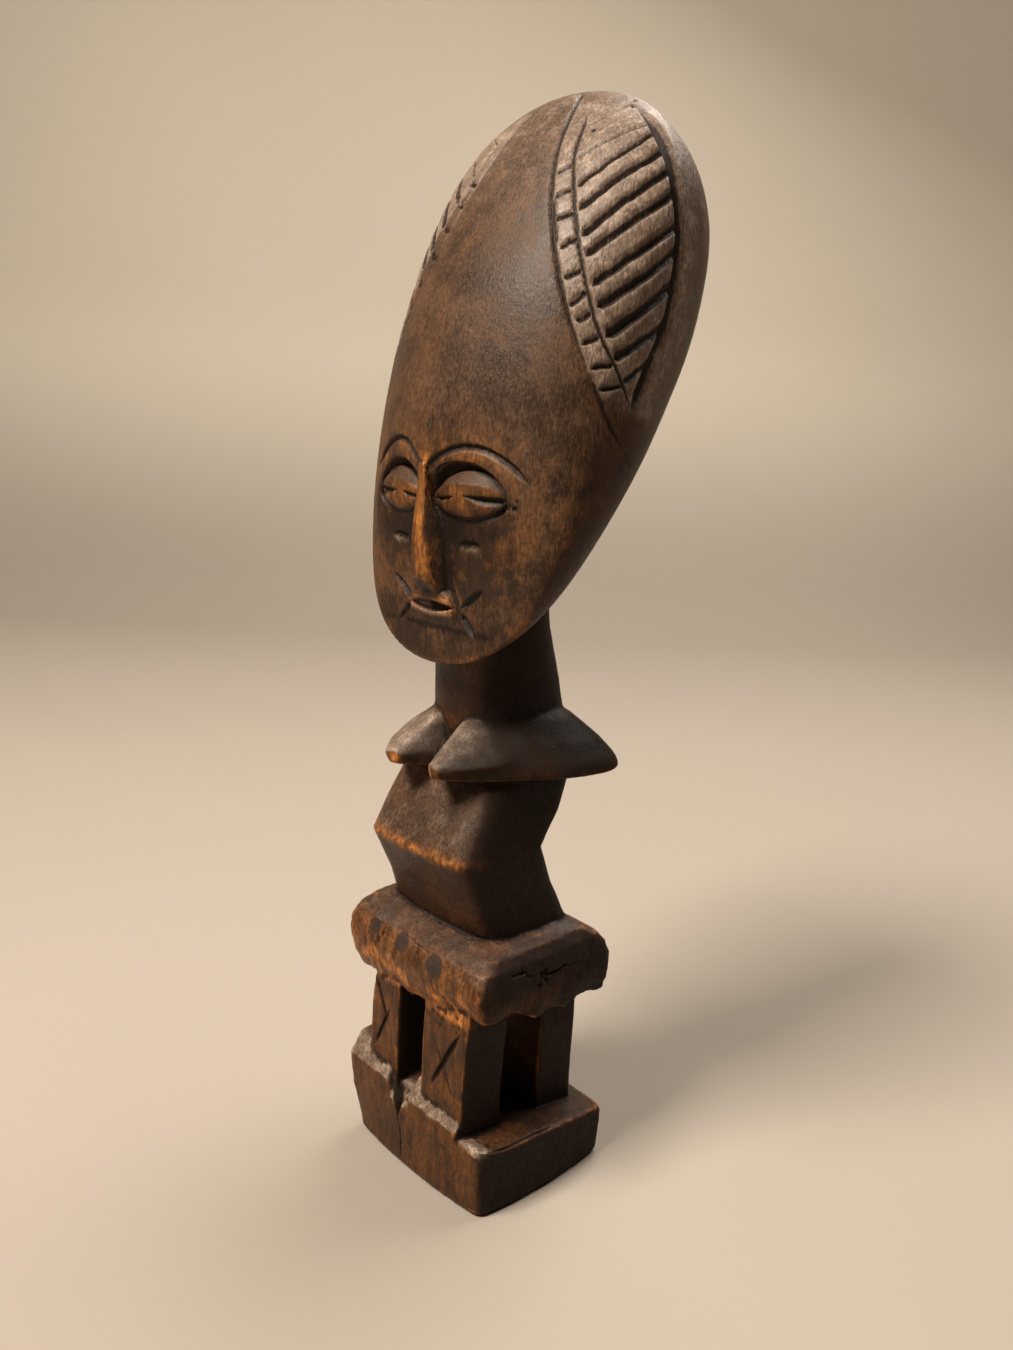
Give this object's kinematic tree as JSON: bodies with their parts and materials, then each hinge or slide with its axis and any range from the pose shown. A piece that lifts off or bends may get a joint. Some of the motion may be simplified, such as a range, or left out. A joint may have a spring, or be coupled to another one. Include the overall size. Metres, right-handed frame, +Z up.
{
  "type": "akuaba doll",
  "caption": "Carved wooden standing doll with a tall leaning oval head, round neck, shoulder slab with breasts, bent torso and a seat slab on legs over a block base.",
  "frame": {"origin": "on the flat underside, at ground level under the neck", "axes": "+Z up along the doll's height, -Y towards its face, +X towards its own left"},
  "size_m": [0.0774, 0.077, 0.2782],
  "materials": {
    "dark_wood": "satin, dark stained and waxed, worn to orange brown on edges"
  },
  "bodies": {
    "root": {"akuaba_doll": "dark_wood"}
  },
  "joints": []
}
